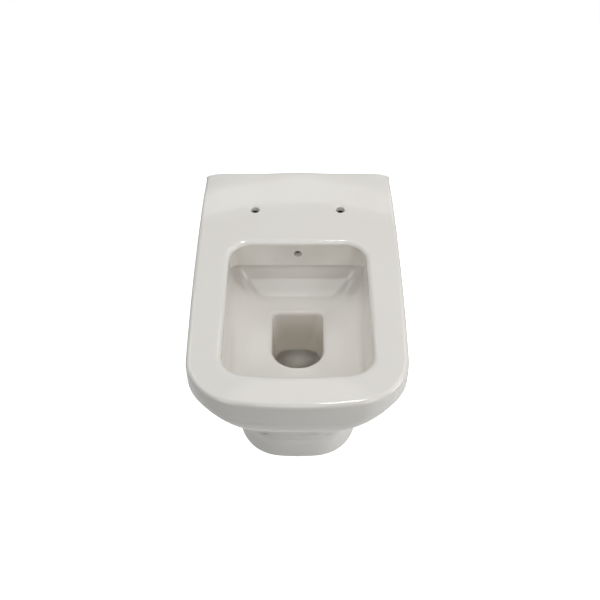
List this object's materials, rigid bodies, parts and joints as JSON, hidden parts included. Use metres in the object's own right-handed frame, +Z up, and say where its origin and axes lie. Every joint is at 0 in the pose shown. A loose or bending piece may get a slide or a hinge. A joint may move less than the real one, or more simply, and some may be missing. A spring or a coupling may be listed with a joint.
{
  "type": "wall hung toilet",
  "caption": "Wall hung toilet pan in glazed china, with a squarish rimless bowl, a raised rear deck and a wash-down trap, hung on concealed side fixings with flush pipe and outlet connector.",
  "frame": {"origin": "on the face of the finished wall, midway between the two wall studs", "axes": "+X to the right as seen from the front, +Y into the wall, +Z up"},
  "size_m": [0.353, 0.62, 0.3456],
  "materials": {
    "glazed_china": "warm white glossy glaze",
    "mat_foam": "closed cell foam, pale grey, matt",
    "flush_plastic": "white satin",
    "seal_rubber": "black matt",
    "waste_plastic": "dark grey satin",
    "zinc_steel": "zinc plated",
    "bush_plastic": "white satin",
    "screw_steel": "stainless, satin",
    "cap_plastic": "white glossy"
  },
  "bodies": {
    "pan": {"rim_casting": "glazed_china", "skirt_casting": "glazed_china", "bowl_casting": "glazed_china", "trap_casting": "glazed_china", "outlet_casting": "glazed_china", "wall_mat": "mat_foam", "inlet_seal": "seal_rubber", "stud_left": "zinc_steel", "stud_right": "zinc_steel", "bracket_left": "zinc_steel", "bracket_right": "zinc_steel", "stud_washer_left": "zinc_steel", "stud_washer_right": "zinc_steel", "stud_nut_left": "zinc_steel", "stud_nut_right": "zinc_steel", "weld_nut_left": "zinc_steel", "weld_nut_right": "zinc_steel", "side_bush_left": "bush_plastic", "side_bush_right": "bush_plastic"},
    "flush_pipe": {"flush_pipe": "flush_plastic"},
    "outlet_connector": {"outlet_connector": "waste_plastic", "outlet_seal": "seal_rubber"},
    "clamp_washer_left": {"clamp_washer_left": "screw_steel"},
    "clamp_washer_right": {"clamp_washer_right": "screw_steel"},
    "clamp_screw_left": {"clamp_screw_left": "screw_steel"},
    "clamp_screw_right": {"clamp_screw_right": "screw_steel"},
    "screw_cap_left": {"screw_cap_left": "cap_plastic"},
    "screw_cap_right": {"screw_cap_right": "cap_plastic"}
  },
  "joints": [
    {"name": "flush_pipe_slide", "type": "slide", "parent": "pan", "child": "flush_pipe", "axis": [0, 1, 0], "range_m": [0, 0.025]},
    {"name": "outlet_connector_slide", "type": "slide", "parent": "pan", "child": "outlet_connector", "axis": [0, 1, 0], "range_m": [0, 0.012]},
    {"name": "clamp_washer_left_slide", "type": "slide", "parent": "pan", "child": "clamp_washer_left", "axis": [-1, 0, 0], "range_m": [0, 0.0025]},
    {"name": "clamp_screw_left_turn", "type": "hinge", "parent": "clamp_washer_left", "child": "clamp_screw_left", "pos_m": [0, -0.065, 0], "axis": [-1, 0, 0], "range_deg": [0, 725]},
    {"name": "screw_cap_left_slide", "type": "slide", "parent": "pan", "child": "screw_cap_left", "axis": [-1, 0, 0], "range_m": [0, 0.025]},
    {"name": "clamp_washer_right_slide", "type": "slide", "parent": "pan", "child": "clamp_washer_right", "axis": [1, 0, 0], "range_m": [0, 0.0025]},
    {"name": "clamp_screw_right_turn", "type": "hinge", "parent": "clamp_washer_right", "child": "clamp_screw_right", "pos_m": [0, -0.065, 0], "axis": [1, 0, 0], "range_deg": [0, 725]},
    {"name": "screw_cap_right_slide", "type": "slide", "parent": "pan", "child": "screw_cap_right", "axis": [1, 0, 0], "range_m": [0, 0.025]}
  ],
  "couplings": [
    {"joint": "clamp_screw_left_turn", "follows": "clamp_washer_left_slide", "rad_per_m": 5026.5},
    {"joint": "clamp_screw_right_turn", "follows": "clamp_washer_right_slide", "rad_per_m": 5026.5}
  ]
}
